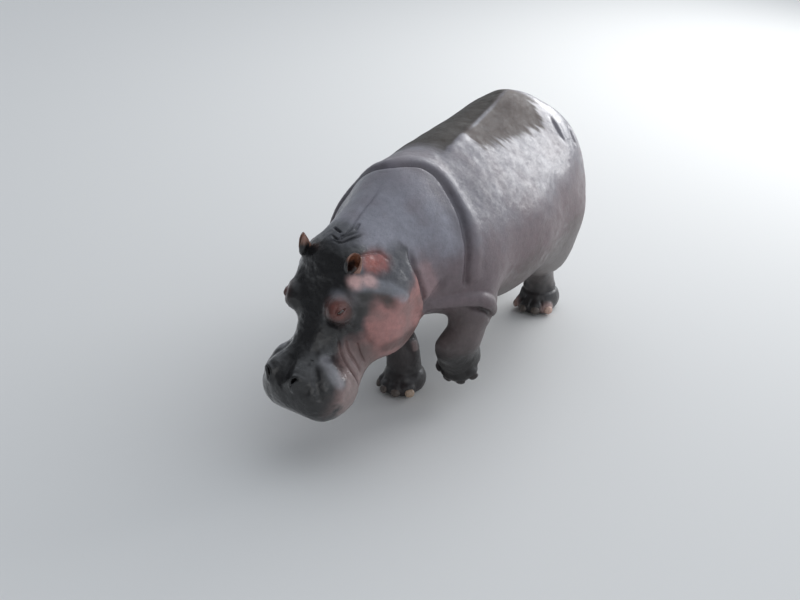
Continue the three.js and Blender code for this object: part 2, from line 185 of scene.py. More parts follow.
class Skin:
    """The skin as arrays of points, normals and edges over a Blender mesh."""

    def __init__(self, piece):
        self.piece = piece
        self.read()

    def read(self):
        mesh = self.piece.data
        self.points = np.empty((len(mesh.vertices), 3))
        mesh.vertices.foreach_get("co", self.points.ravel())
        self.edges = np.empty((len(mesh.edges), 2), np.int32)
        mesh.edges.foreach_get("vertices", self.edges.ravel())
        self.find_normals()

    def find_normals(self):
        mesh = self.piece.data
        mesh.vertices.foreach_set("co", self.points.ravel())
        mesh.update()
        self.normals = np.empty((len(mesh.vertices), 3), np.float32)
        mesh.vertex_normals.foreach_get("vector", self.normals.ravel())

    def push(self, amount, index=slice(None)):
        """Moves points along their normals."""
        self.points[index] += self.normals[index] * amount[:, None]
        self.find_normals()

    def relax(self, strength, passes, values=None):
        """Values, or the points, after each has moved towards the mean of its neighbours a few times."""
        a, b = self.edges.T
        values = self.points if values is None else values
        count = np.bincount(self.edges.ravel(), minlength=len(self.points))[:, None]
        for _ in range(passes):
            around = [np.bincount(a, v[b], len(v)) + np.bincount(b, v[a], len(v)) for v in values.T]
            values = values + strength * (np.stack(around, 1) / count - values)
        return values

    def laid(self, points, step=0.008):
        """A smooth curve through these points, laid on the skin."""
        path = curve(np.array(points, float), step)
        return np.array([self.piece.closest_point_on_mesh(Vector(p))[1] for p in path])

    def fold(self, points, depth, width, roll=0.0, towards=(0, 0, 1), spread=0.04, ends=0.12):
        """A crease along a curve, with a roll of skin on the side that `towards` points to."""
        path = self.laid(points)
        index, offset, way = beside(self.points, path, 3 * max(width, spread if roll else 0))
        gap = np.linalg.norm(offset, axis=1)
        amount = -depth * np.exp(-((gap / width) ** 2))
        if roll:
            across = offset @ unit(towards)
            amount += roll * np.exp(-((across / spread - 1) ** 2) - (gap / (2 * spread)) ** 4)
        fade = ramp(way, 0, ends) * ramp(way, 1, 1 - ends) if ends else 1
        self.push(amount * fade, index)

    def refine(self, wanted):
        """Cuts each face whose corners are all wanted into four, given a mask over the points."""
        work = bmesh.new()
        work.from_mesh(self.piece.data)
        work.verts.ensure_lookup_table()
        chosen = [f for f in work.faces if all(wanted[v.index] for v in f.verts)]
        edges = list({e for f in chosen for e in f.edges})
        bmesh.ops.subdivide_edges(work, edges=edges, cuts=1, use_grid_fill=True)
        work.to_mesh(self.piece.data)
        work.free()
        self.read()


def add_ball(work, middle, radius):
    bmesh.ops.create_icosphere(work, subdivisions=3, radius=radius, matrix=Matrix.Translation(middle))


def add_roll(work, points, radius):
    """A roll of flesh along a curve, thinning towards its ends."""
    path = curve(np.array(points, float), radius / 3)
    for n, place in enumerate(path):
        way = n / (len(path) - 1)
        add_ball(work, place, radius * math.sqrt(math.sin(math.pi * (0.06 + 0.88 * way))))


# How far each kind of flesh is smoothed: its solids have larger or smaller facets.
SMOOTHING = {"trunk": 1.0, "neck": 0.6, "leg": 0.25, "head": 0.12, "jaw": 0.12, "foot": 0.05, "tail": 0.05}
FLESH = [name for name in NODES if "nail" not in name and "ear_" not in name]
SKIN_NODES = [name for name in FLESH if "eye" not in name]
EARS = ["ear_left", "ear_right"]


def rough_skin():
    """The flesh nodes joined into one even mesh. A ball fills the place where each ear stands."""
    work = bmesh.new()
    for name in FLESH:
        work.from_mesh(NODES[name].data)
    for name in EARS:
        low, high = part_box(name)
        add_ball(work, ((low.x + high.x) / 2, (low.y + high.y) / 2, low.z + 0.03), 0.03)
    mesh = bpy.data.meshes.new("skin")
    work.to_mesh(mesh)
    work.free()
    piece = new_piece("skin", mesh)
    remesh(piece, FLESH_FACE)
    return Skin(piece)


def smoothing_map(skin):
    """How far each point is smoothed, from the kind of node that lies nearest."""
    owners, places = [], []
    for name in SKIN_NODES:
        share = next(v for kind, v in SMOOTHING.items() if kind in name)
        for vertex in NODES[name].data.vertices:
            places.append(vertex.co)
            owners.append(share)
    tree = kdtree.KDTree(len(places))
    for n, place in enumerate(places):
        tree.insert(place, n)
    tree.balance()
    share = np.array([[owners[tree.find(p)[1]]] for p in skin.points])
    return skin.relax(0.5, 12, share)


def smooth_skin(skin, passes=110):
    """Smooths the facets away, and gives the slow part of the loss back so that nothing shrinks."""
    strength = 0.6 * smoothing_map(skin)
    soft = skin.relax(strength, passes)
    lost = skin.relax(strength, passes, skin.points - soft)
    skin.points = soft + lost
    skin.find_normals()


# ---------------------------------------------------------------- folds of the body

# Curves laid on the body in the shared frame. The groove of the nape is in the head's own frame.
NECK_FOLD = [(-0.44, -0.43, 0.77), (-0.43, -0.40, 0.92), (-0.36, -0.36, 1.10), (-0.25, -0.38, 1.25),
             (-0.12, -0.41, 1.34), (-0.01, -0.40, 1.38), (0.11, -0.30, 1.36), (0.21, -0.27, 1.28),
             (0.33, -0.30, 1.15), (0.41, -0.36, 1.00), (0.44, -0.40, 0.91), (0.44, -0.41, 0.80),
             (0.43, -0.385, 0.74)]
# The middle of the roll of flesh that the near foreleg comes out of, and the groove just under the roll.
SLEEVE = [(0.25, -0.565, 0.70), (0.285, -0.505, 0.692), (0.325, -0.445, 0.692), (0.368, -0.392, 0.690),
          (0.408, -0.345, 0.684), (0.445, -0.300, 0.668), (0.470, -0.262, 0.635), (0.472, -0.230, 0.59),
          (0.455, -0.200, 0.55), (0.42, -0.18, 0.52)]
SLEEVE_RADIUS = 0.050
UNDER_SLEEVE = [(x, y, z - 0.053) for x, y, z in SLEEVE[:9]]
THROAT = [(0.364, -0.507, 0.90), (0.363, -0.516, 0.846), (0.34, -0.541, 0.777), (0.305, -0.575, 0.72),
          (0.26, -0.59, 0.66), (0.20, -0.58, 0.63)]
NAPE_GROOVE = [(0.046, 0.10, 0.185), (0.024, 0.175, 0.149), (0.010, 0.268, 0.110), (0.007, 0.358, 0.071),
               (0.003, 0.441, 0.036)]
SPINE = [(0.13, -0.10, 1.337), (0.09, 0.206, 1.357), (0.057, 0.445, 1.359), (0.034, 0.671, 1.370),
         (0.008, 0.848, 1.381), (0.0, 0.95, 1.36)]
HIP_CREASES = [[(0.234, 0.949, 1.27), (0.285, 0.91, 1.231), (0.342, 0.886, 1.169), (0.393, 0.889, 1.104)],
               [(0.301, 1.052, 1.186), (0.359, 1.015, 1.129), (0.40, 0.99, 1.05)]]

# Down the inside of the right foreleg.
INNER_LEG = [(0.021, -0.266, 0.315), (0.037, -0.274, 0.285), (0.049, -0.280, 0.240)]

NAILS = [name for name in NODES if "nail" in name]
FEET = [name for name in NODES if "foot_" in name and name not in NAILS]
TOES = ("inner", "second", "third", "outer")
TOE_RADIUS = 0.044


def nails_of(foot):
    return [centre(f"{foot}_nail_{toe}") for toe in TOES]


def add_forms(work):
    """Forms that overhang: the sleeve over the near foreleg, and the toes' flesh behind and between nails."""
    add_roll(work, SLEEVE, SLEEVE_RADIUS)
    for foot in FEET:
        middle = centre(foot)
        nails = nails_of(foot)
        for nail in nails:
            add_ball(work, nail - 0.041 * unit(nail - middle), TOE_RADIUS)
        for a, b in zip(nails, nails[1:]):
            between = (a + b) / 2
            add_ball(work, between - 0.036 * unit(between - middle), TOE_RADIUS)


def sculpt_body(skin):
    """Folds of neck, throat and nape, the ridge of the back, the sleeve's groove and the hip's creases."""
    skin.fold(NECK_FOLD, depth=0.026, width=0.016, roll=0.014, towards=(0, 1, 0), spread=0.05, ends=0.04)
    skin.fold(THROAT, depth=0.022, width=0.022, roll=0.010, towards=(-0.5, -0.8, 0), spread=0.05, ends=0.3)
    skin.fold(from_head(*NAPE_GROOVE), depth=0.012, width=0.012, ends=0.3)
    skin.fold(SPINE, depth=-0.010, width=0.030)
    skin.fold(UNDER_SLEEVE, depth=0.024, width=0.015, ends=0.15)
    for crease in HIP_CREASES:
        skin.fold(crease, depth=0.010, width=0.014, roll=0.006, towards=(0, 1, 0), spread=0.03, ends=0.4)


def ring(middle, radius, height):
    """Points round an upright axis, at a height above the middle."""
    angles = np.radians(np.arange(0, 361, 30))
    return [middle + [radius * math.cos(a), radius * math.sin(a), height] for a in angles]


def sculpt_feet(skin):
    """Clefts between the toes and a crease round each standing ankle."""
    for foot in FEET:
        middle = centre(foot)
        nails = nails_of(foot)
        instep = middle * 0.7 + centre(foot.replace("foot", "leg")) * 0.3
        for a, b in zip(nails, nails[1:]):
            between = (a + b) / 2
            skin.fold([between, between * 0.8 + instep * 0.2, between * 0.5 + instep * 0.5],
                      depth=0.008, width=0.008, ends=0.4)
        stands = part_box(foot)[0].z < 0.01
        if stands:
            skin.fold(ring(middle + [0, 0.02, 0], 0.11, 0.055), depth=0.008, width=0.010, ends=0)


# ---------------------------------------------------------------- the head

# Curves on the left side of the head, in the head's own frame.
BROW = [(0.085, -0.205, 0.148), (0.157, -0.150, 0.137), (0.196, -0.118, 0.113), (0.230, -0.085, 0.078),
        (0.289, -0.052, 0.001), (0.316, -0.049, -0.045), (0.328, -0.051, -0.118), (0.318, -0.075, -0.190)]
CHEEK_HOLLOW = [(0.207, -0.190, 0.107), (0.239, -0.136, 0.063), (0.272, -0.104, 0.021),
                (0.300, -0.098, -0.031), (0.318, -0.100, -0.100)]
MOUTH = [(0.128, -0.365, 0.010), (0.136, -0.382, -0.011), (0.129, -0.444, -0.098), (0.181, -0.491, -0.141),
         (0.206, -0.537, -0.231), (0.19, -0.58, -0.26)]
LIP_FOLD = [(0.139, -0.360, -0.050), (0.150, -0.405, -0.105), (0.185, -0.448, -0.165),
            (0.205, -0.490, -0.225)]
CHIN_FOLD = [(0.170, -0.345, -0.105), (0.188, -0.395, -0.160), (0.210, -0.430, -0.215)]
CHEEK_CREASE = [(0.225, 0.200, -0.090), (0.258, 0.155, -0.120), (0.282, 0.116, -0.147),
                (0.298, 0.090, -0.186), (0.311, 0.047, -0.243), (0.313, 0.004, -0.308),
                (0.289, -0.055, -0.403)]
JOWL_CREASE = [(0.245, -0.31, -0.03), (0.235, -0.335, -0.10), (0.24, -0.35, -0.17)]
NOSE_EDGE = [(0.070, -0.455, 0.065), (0.095, -0.500, 0.052), (0.135, -0.575, 0.048), (0.165, -0.630, 0.035),
             (0.195, -0.690, -0.010), (0.205, -0.720, -0.060)]
EAR_CREASE = [(0.135, 0.00, 0.15), (0.165, 0.055, 0.115), (0.20, 0.10, 0.06), (0.25, 0.09, 0.0)]
UNDER_CHEEK = [(0.223, -0.348, -0.170), (0.275, -0.289, -0.243), (0.286, -0.218, -0.319),
               (0.290, -0.120, -0.400)]
# The line of the painted highlight on the lip pad.
PAD_HIGHLIGHT_LINE = [(0.100, -0.472, 0.037), (0.153, -0.528, 0.008), (0.209, -0.568, -0.033), (0.238, -0.608, -0.119)]

HEAD_FOLDS = [
    (BROW, dict(depth=-0.008, width=0.042)),
    (CHEEK_HOLLOW, dict(depth=0.011, width=0.038)),
    (MOUTH, dict(depth=0.018, width=0.007, roll=0.006, towards=(0, 1, -0.3), spread=0.022, ends=0.4)),
    (LIP_FOLD, dict(depth=0.011, width=0.006, roll=0.004, towards=(0, 1, 0), spread=0.016)),
    (CHIN_FOLD, dict(depth=0.007, width=0.006)),
    (CHEEK_CREASE, dict(depth=0.030, width=0.016, roll=0.012, towards=(0, -1, 0), spread=0.04)),
    (JOWL_CREASE, dict(depth=0.006, width=0.02)),
    (NOSE_EDGE, dict(depth=0.008, width=0.022)),
    (EAR_CREASE, dict(depth=0.006, width=0.008)),
]

# Wrinkles across the nape, which differ from side to side.
NAPE_WRINKLES = [
    [(-0.036, 0.077, 0.197), (0.022, 0.065, 0.204), (0.045, 0.092, 0.188), (0.066, 0.127, 0.160),
     (0.080, 0.153, 0.133)],
    [(-0.002, 0.047, 0.210), (0.049, 0.055, 0.200), (0.075, 0.086, 0.177), (0.105, 0.157, 0.114)],
    [(0.033, 0.172, 0.150), (0.042, 0.112, 0.181), (0.033, 0.061, 0.203)],
    [(0.052, 0.197, 0.129), (0.056, 0.170, 0.138), (0.061, 0.142, 0.146)],
    [(-0.060, 0.120, 0.175), (-0.019, 0.114, 0.188), (0.025, 0.103, 0.188)],
]


def both_sides(points):
    """Points of the head's left side, and mirrored on its right, in the shared frame, each with its side."""
    points = np.array(points)
    return [(side, from_head(*(points * [side, 1, 1]))) for side in (1, -1)]


# Swellings and hollows of the head: the middle, the radii along X, Y and Z, and how far the skin moves out.
HEAD_SWELLINGS = [
    ((0.090, -0.650, 0.090), (0.045, 0.060, 0.060), 0.024),  # nostril mound
    ((0.0, -0.610, 0.090), (0.030, 0.080, 0.060), -0.016),  # valley between the nostrils
    ((0.170, -0.530, 0.000), (0.060, 0.055, 0.070), 0.022),  # lip pad over the tusk
    ((0.225, -0.610, -0.110), (0.070, 0.080, 0.090), 0.014),  # lower end of the lip pad
    ((0.235, -0.250, -0.150), (0.080, 0.080, 0.120), 0.012),  # cheek
    ((0.120, -0.420, 0.060), (0.030, 0.080, 0.040), -0.012),  # side of the bridge
]


def swell_head(skin):
    """The larger forms of the head, on both sides, softened where they meet."""
    for middle, radii, height in HEAD_SWELLINGS:
        sides = {middle, (-middle[0], *middle[1:])}  # only one where it lies on the middle line
        local = in_head(skin.points)
        skin.push(height * sum(blob(local, np.array(place), np.array(radii)) for place in sorted(sides)))
    on_head = in_head(skin.points)[:, 1] < 0.1
    skin.points = skin.relax(0.5 * on_head[:, None], 12)
    skin.find_normals()


def sculpt_head(skin):
    """The same folds on both sides of the head, and the wrinkles of the nape."""
    for points, options in HEAD_FOLDS:
        towards = np.array(options.get("towards", (0, 0, 1)))
        for side, path in both_sides(points):
            way = HEAD_TURN @ (towards * [side, 1, 1])
            skin.fold(path, **{"ends": 0.2, **options, "towards": way})
    for wrinkle in NAPE_WRINKLES:
        skin.fold(from_head(*wrinkle), depth=0.012, width=0.006, ends=0.3)


EYE_RADIUS = 0.023
EYE_OUT = unit((0.72, -0.15, 0.68))  # the way that the left eye looks
EYE_SLIT = unit((0.32, 0.89, -0.34))  # along the slit between its lids, backwards
SOCKET = np.array([0.160, -0.266, 0.112])  # the middle of the bulge that carries the eye
LID_THICKNESS = 0.004
LID_LINE = [EYE + 0.027 * EYE_OUT + along * EYE_SLIT - [0, 0, 0.001]
            for along in (-0.030, -0.012, 0.012, 0.030)]


def swell_socket(skin, side):
    """The eye stands on a round bulge, with a hollow in front of it and below."""
    offset = in_head(skin.points) - SOCKET * [side, 1, 1]
    gap = np.linalg.norm(offset, axis=1)
    index = np.flatnonzero(gap < 0.16)
    offset, gap = offset[index], gap[index]
    front = ramp(-offset[:, 1] / gap + 0.4 * offset[:, 0] * side / gap, -0.5, 0.6)
    bulge = 0.015 * ramp(gap, 0.098, 0.030)
    hollow = 0.006 * np.exp(-(((gap - 0.100) / 0.038) ** 2)) * front
    skin.push(bulge - hollow, index)


def open_lids(skin, side):
    """Lids bulge over the eyeball and part in a slit."""
    flip = np.array([side, 1, 1])
    out = EYE_OUT * flip
    along = unit(EYE_SLIT * flip - out * (EYE_SLIT @ EYE_OUT))
    up = np.cross(along, out) * side
    local = in_head(skin.points) - EYE * flip
    far = np.linalg.norm(local, axis=1)
    index = np.flatnonzero((far < 0.065) & (local @ out > 0.0))
    local, far = local[index], far[index]
    direction = local / far[:, None]
    s, t = direction @ along, direction @ up
    reach = np.sqrt(np.clip(1 - (s / 0.92) ** 2, 0.01, 1))
    # Less than 1 in the slit, 1 at the lids' edges, and more outside them.
    opening = np.abs(t + 0.04) / (0.27 * reach) + ramp(np.abs(s), 0.84, 0.97)
    lid = EYE_RADIUS + LID_THICKNESS + 0.0025 * np.exp(-((opening - 1.5) / 0.35) ** 2)
    crease = -0.0035 * np.exp(-((opening - 3.2) / 0.45) ** 2)
    covered = lid + crease + (far - lid).clip(0) * ramp(far, 0.030, 0.060)
    slit = ramp(opening, 1.12, 0.92)
    radius = covered * (1 - slit) + (EYE_RADIUS - 0.008) * slit
    skin.points[index] += direction @ HEAD_TURN.T * (radius - far)[:, None]
    skin.find_normals()


NOSTRIL = np.array([0.085, -0.672, 0.082])  # the middle of the left one
NOSTRIL_BEND = 12  # how strongly the slit of a nostril curves


def open_nostril(skin, side):
    """A raised rim round a bent slit that runs back and outwards."""
    place = from_head(NOSTRIL * [side, 1, 1])[0]
    offset = (skin.points - place) @ HEAD_TURN
    index = np.flatnonzero((offset ** 2).sum(1) < 0.14 ** 2)
    x, y = offset[index, 0] * side, offset[index, 1]
    along = 0.55 * x + 0.83 * y
    across = 0.83 * x - 0.55 * y - NOSTRIL_BEND * along ** 2
    out = np.hypot(along / 0.021, across / 0.0065)
    rim = 0.009 * np.exp(-(((out - 2.2) / 2.2) ** 2))
    hole = -0.030 * ramp(out, 1.4, 0.4)
    gap = np.linalg.norm(offset[index], axis=1)
    skin.push((rim + hole) * ramp(gap, 0.070, 0.035), index)


def skin_noise(skin):
    """Slow unevenness and fine wrinkles, which are stronger on the head."""
    slow = clouds(skin.points, 0.16, 1) + 0.5 * clouds(skin.points, 0.07, 2)
    skin.push(0.004 * slow)
    fine = clouds(skin.points, 0.032, 3) + 0.6 * clouds(skin.points, 0.017, 4)
    skin.push(0.0006 * fine * (1 + 1.7 * ramp(in_head(skin.points)[:, 1], 0.25, 0.0)))


# ---------------------------------------------------------------- colours


def colour(text):
    """A six-digit sRGB colour as linear values."""
    values = np.array([int(text[n:n + 2], 16) / 255 for n in (0, 2, 4)])
    return np.where(values < 0.04045, values / 12.92, ((values + 0.055) / 1.055) ** 2.4)


GREY = colour("6b686f")
# The neck's own blue-grey, made lighter and bluer by a painted sheen.
NECK_AND_SHEEN = colour("85858f")
MAUVE = colour("6a5b5e")
BELLY = colour("4a4039")
PATCH = colour("3f3128")
FAR_BACK = colour("2a2117")
SHANK = colour("625858")
HIND_SHANK = colour("787271")
FOOT = colour("2b2829")
LIFTED_FOOT = colour("1b1818")
# The face's own near-black, also laid as painted shade on the ears, below the lids and in the nape's
# wrinkles.
FACE_AND_SHADE = colour("0f0e10")
CROWN = colour("2f3036")
# A painted highlight, laid on the brow's ridge, above the left eye and along the spine.
RIDGE_HIGHLIGHT = colour("8a8c94")
# Painted shade for the hollows under the brow.
HOLLOW_SHADE = colour("2e2c29")
TEMPLE = colour("47474c")
CHEEK = colour("a47571")
JAW_SIDE = colour("75625f")
# Darker brown painted shade, low on the jaw and under the cheek.
JAW_SHADE = colour("56403d")
MUZZLE_SIDE = colour("857370")
# A pale painted highlight on the lip pad.
LIP_PAD_HIGHLIGHT = colour("9b9a9f")
LIPS = colour("95807e")
# Dark reddish painted shade in the creases of the mouth and the lip fold.
LIP_CREASE_SHADE = colour("3a2422")
PALE_PINK = colour("cfa9a6")
NECK_PINK = colour("93797b")
TOE_PINK = colour("a88b86")
SHADED = colour("2a2422")
EAR_BACK = colour("8c4033")
EAR_PINK = colour("864a45")
EAR_SKIN = colour("876456")
EAR_INSIDE = colour("70442f")
# Painted shade for the deep hole of each ear.
EAR_HOLE_SHADE = colour("26140f")
LID = colour("74423a")
EYE_DARK = colour("1c0f0a")
EYE_LIGHT = colour("3c2215")
NAIL = colour("5b534e")
LIFTED_NAIL = colour("2a2423")


class Paint:
    """Colour and roughness laid over the skin in layers."""

    def __init__(self, points):
        self.points = points
        self.head = in_head(points)
        self.colour = np.tile(GREY, (len(points), 1))
        self.rough = np.full(len(points), 0.40)
        self.ragged = 0.10 * clouds(points, 0.035, 5) + 0.04 * clouds(points, 0.012, 6)

    def lay(self, tint, mask, rough=None):
        """Lays a colour, and a roughness if there is one, as strongly as the mask says."""
        mask = np.clip(mask, 0, 1)
        self.colour += (tint - self.colour) * mask[:, None]
        if rough is not None:
            self.rough += (rough - self.rough) * mask

    def blob(self, tint, middle, radii, rough=None, strength=1.0, sides=(1, -1)):
        """A soft patch in the head's frame, ragged at its edge."""
        for side in sides:
            mask = blob(self.head, np.array(middle) * [side, 1, 1], np.array(radii))
            self.lay(tint, strength * ramp(mask * (1 + 2 * self.ragged), 0.08, 0.9), rough)

    def streak(self, tint, path, width, rough=None, strength=1.0):
        """A soft streak along a curve, ragged at its edge and fading at its ends."""
        index, offset, way = beside(self.points, curve(np.array(path, float)), 3 * width)
        mask = np.exp(-((offset / width) ** 2).sum(1)) * ramp(way, 0, 0.25) * ramp(way, 1, 0.75)
        full = np.zeros(len(self.points))
        full[index] = strength * ramp(mask * (1 + 2 * self.ragged[index]), 0.08, 0.85)
        self.lay(tint, full, rough)

    def streaks(self, tint, points, width, rough=None, strength=1.0, sides=(1, -1)):
        """A streak on each side of the head, or on one, along points in the head's own frame."""
        for side, path in both_sides(points):
            if side in sides:
                self.streak(tint, path, width, rough, strength)


def paint_body(paint):
    """Blue-grey neck with a painted sheen, mauve flanks and shoulders and a brown belly, over grey."""
    _, y, z = paint.points.T
    ragged = 0.06 * clouds(paint.points, 0.09, 7) + 0.03 * clouds(paint.points, 0.03, 8)
    blotches = ramp(clouds(paint.points, 0.20, 14) + 0.6 * clouds(paint.points, 0.07, 15), -0.3, 0.9)
    neck = ramp(y + 0.3 * ragged, -0.34, -0.42) * ramp(z, 0.75, 0.95)
    flanks = ramp(z + ragged, 1.15, 0.80) * ramp(y, -0.45, -0.1)
    shoulders = 0.8 * ramp(z + ragged, 1.12, 0.88) * ramp(y, 0.0, -0.4)
    belly = ramp(z + ragged, 0.80, 0.50) * ramp(y, -0.4, 0.1)
    paint.rough += 0.09 * ramp(y, 0.40, -0.05) - 0.05 * ramp(y, 0.3, 0.7)
    # The neck is laid lighter than its skin: partly a painted sheen.
    paint.lay(NECK_AND_SHEEN, neck, 0.42)
    paint.lay(MAUVE, 0.35 * blotches)
    paint.lay(MAUVE, flanks, 0.46)
    paint.lay(MAUVE, shoulders, 0.46)
    paint.lay(BELLY, belly, 0.5)
    paint_back(paint)
    paint_legs(paint, ragged)


def paint_legs(paint, ragged):
    """Shanks, dark wet feet, the pink inside of a foreleg, the groove under the sleeve, and two pink toes."""
    x, y, z = paint.points.T
    shanks = ramp(z + ragged, 0.74, 0.50)
    feet = ramp(z + ragged, 0.30, 0.12)
    lifted_foot = ramp(z + 0.5 * ragged, 0.44, 0.30) * ramp(x, 0.15, 0.2) * ramp(y, 0.1, 0.0)
    right_foreleg = 0.7 * ramp(z + ragged, 0.62, 0.50) * ramp(x, 0.12, 0.05) * ramp(y, 0.1, 0.0)
    paint.lay(SHANK, shanks, 0.5)
    paint.lay(HIND_SHANK, shanks * ramp(y, 0.5, 0.7), 0.5)
    paint.lay(FOOT, feet, 0.42)
    paint.lay(LIFTED_FOOT, lifted_foot, 0.42)
    paint.lay(FOOT, right_foreleg, 0.45)
    paint.streak(LIPS, INNER_LEG, 0.030, 0.45, 0.9)
    paint.streak(SHADED, UNDER_SLEEVE, 0.014, 0.5, 0.8)
    for toe in ("inner", "outer"):
        near_nail = blob(paint.points, centre(f"hindfoot_left_nail_{toe}"), 0.05)
        paint.lay(TOE_PINK, 0.8 * ramp(near_nail, 0.15, 0.7))


def paint_back(paint):
    """The dry, brown part of the back and the dark far side, with streaky edges, and a painted highlight on
    the ridge between.
    """
    x, y, z = paint.points.T
    sheared = paint.points + np.outer(z, [0, 0.5, 0])
    streaks = 0.026 * clouds(sheared, np.array([0.24, 0.030, 0.24]), 9)
    streaks += 0.020 * clouds(sheared, np.array([0.16, 0.009, 0.16]), 12)
    lower = np.interp(y, [0.2, 0.3, 0.5, 0.8, 0.9], [1.30, 1.285, 1.26, 1.238, 1.31]) + streaks
    patch = ramp(z, lower - 0.022, lower + 0.022) * ramp(y + streaks, 0.17, 0.22) * ramp(y, 1.00, 0.92)
    paint.lay(PATCH, 0.9 * patch, 0.60)
    ridge = np.interp(y, [-0.1, 0.2, 0.85, 1.0], [0.13, 0.09, 0.01, 0.0])
    ridge = ridge + 0.01 * clouds(paint.points, 0.05, 13)
    far = ramp(x, ridge, ridge - 0.03) * ramp(y + streaks, -0.15, 0.05) * ramp(z + 2 * streaks, 0.85, 1.10)
    paint.lay(FAR_BACK, far * ramp(y + streaks, 1.12, 0.90), 0.62)
    # A painted highlight along the ridge of the back.
    paint.streak(RIDGE_HIGHLIGHT, SPINE[1:], 0.014, 0.4, 0.6)


def paint_head(paint):
    """Pink cheeks and jaws below a border at about the height of the mouth, and a black face above it."""
    x, y, z = paint.head.T
    x = abs(x)
    ragged = 0.025 * clouds(paint.points, 0.06, 10) + 0.012 * clouds(paint.points, 0.02, 11)
    back_edge = np.interp(z, *np.array(CHEEK_CREASE)[::-1, [2, 1]].T)
    on_head = ramp(y + 0.5 * ragged, back_edge + 0.01, back_edge - 0.02) * ramp(z, -0.56, -0.50)
    border = -0.07 + 0.10 * ramp(x, 0.20, 0.27) * ramp(y, -0.36, -0.24) - 0.16 * ramp(y, -0.12, 0.0)
    low = ramp(z + ragged, border + 0.06, border - 0.06) * on_head
    behind_eye = ramp(x, 0.16, 0.23) * ramp(y, -0.22, -0.12)
    top = (1 - low) * ramp(y + 1.5 * ragged, 0.14, 0.04) * ramp(z, -0.40, -0.30)
    tip = ramp(y + 2 * ragged, -0.66, -0.76) * ramp(z, -0.36, -0.28)
    paint_jaw(paint, low, ragged)
    paint.lay(TEMPLE, (1 - low) * on_head * behind_eye, 0.50)
    paint.lay(FACE_AND_SHADE, top * (1 - behind_eye), 0.33)
    paint.lay(FACE_AND_SHADE, tip, 0.33)
    paint_cheek(paint)
    paint_round_eyes(paint)
    paint_muzzle(paint)


def paint_jaw(paint, low, ragged):
    """The low part of the head: pink cheeks, greyer in blotches and towards the mouth, and darker brown below
    as painted shade.
    """
    x, y, z = paint.head.T
    blotches = 0.6 * low * ramp(clouds(paint.points, 0.11, 16) + 8 * ragged, 0.0, 0.8)
    under = 0.7 * low * ramp(z + 2 * ragged, -0.28, -0.42) * ramp(y, -0.32, -0.24)
    front = low * ramp(y + ragged, -0.25, -0.37) * ramp(abs(x), 0.28, 0.20)
    muzzle = low * ramp(y + ragged, -0.42, -0.52)
    paint.lay(CHEEK, low, 0.44)
    paint.lay(JAW_SIDE, blotches)
    # Painted shade low on the jaw.
    paint.lay(JAW_SHADE, under)
    paint.lay(JAW_SIDE, front, 0.42)
    paint.lay(MUZZLE_SIDE, muzzle, 0.38)


def paint_cheek(paint):
    """Crown, a painted highlight on the brow's ridge, painted shade in the hollow under it and under the
    cheek, the pink behind the cheek, and painted shade in the cheek's crease.
    """
    paint.blob(CROWN, (0.045, 0.105, 0.175), (0.105, 0.085, 0.075), 0.4, 0.85)
    # Painted shade in the hollow under the brow ridge: two patches and a streak.
    paint.blob(HOLLOW_SHADE, (0.245, -0.175, 0.035), (0.055, 0.065, 0.070), 0.45, 0.6)
    paint.blob(HOLLOW_SHADE, (0.300, -0.112, -0.050), (0.045, 0.036, 0.065), 0.45, 0.6)
    paint.streaks(HOLLOW_SHADE, CHEEK_HOLLOW, 0.034, 0.45, 0.7)
    # A painted highlight along the brow's ridge.
    paint.streaks(RIDGE_HIGHLIGHT, BROW[1:], 0.036, 0.34, 0.62)
    # Painted shade under the cheek.
    paint.streaks(JAW_SHADE, UNDER_CHEEK, 0.042, 0.44, 0.65)
    paint.streaks(NECK_PINK, np.array(CHEEK_CREASE[2:]) + [0, 0.065, 0], 0.055, 0.46, 0.7)
    paint.streaks(SHADED, CHEEK_CREASE[:6], 0.018, 0.50, 0.8)


def paint_round_eyes(paint):
    """The skin below the ears, between ear and eye and on the lids, a painted highlight above the left eye,
    painted shade below the front of the lids and round their slits, and painted shade in the nape's wrinkles.
    """
    paint.blob(EAR_PINK, (0.205, 0.050, 0.055), (0.062, 0.075, 0.075), 0.42)
    paint.blob(EAR_BACK, (0.190, 0.020, 0.090), (0.050, 0.050, 0.060), 0.38, 0.8)
    paint.blob(PALE_PINK, (0.190, -0.098, 0.125), (0.048, 0.040, 0.045), 0.42, 1.0, sides=(1,))
    paint.blob(PALE_PINK, (0.232, -0.062, 0.078), (0.048, 0.034, 0.045), 0.42, 0.8, sides=(1,))
    # A painted highlight above the left eye.
    paint.blob(RIDGE_HIGHLIGHT, (0.140, -0.195, 0.150), (0.055, 0.034, 0.040), 0.34, 0.45, sides=(1,))
    paint.blob(LID, (0.155, -0.258, 0.118), (0.070, 0.068, 0.062), 0.30, 1.0, sides=(1,))
    paint.blob(LID, (0.175, -0.262, 0.110), (0.050, 0.060, 0.055), 0.30, 0.8, sides=(-1,))
    # Near-black of the face, and painted shade below the front of the lid.
    paint.blob(FACE_AND_SHADE, (0.145, -0.325, 0.090), (0.060, 0.036, 0.050), 0.34, 0.8)
    paint.streaks(SHADED, LID_LINE, 0.006, 0.3, 0.9)
    # Painted shade in the wrinkles of the nape.
    for wrinkle in NAPE_WRINKLES:
        paint.streak(FACE_AND_SHADE, from_head(*wrinkle), 0.010, 0.4, 0.7)


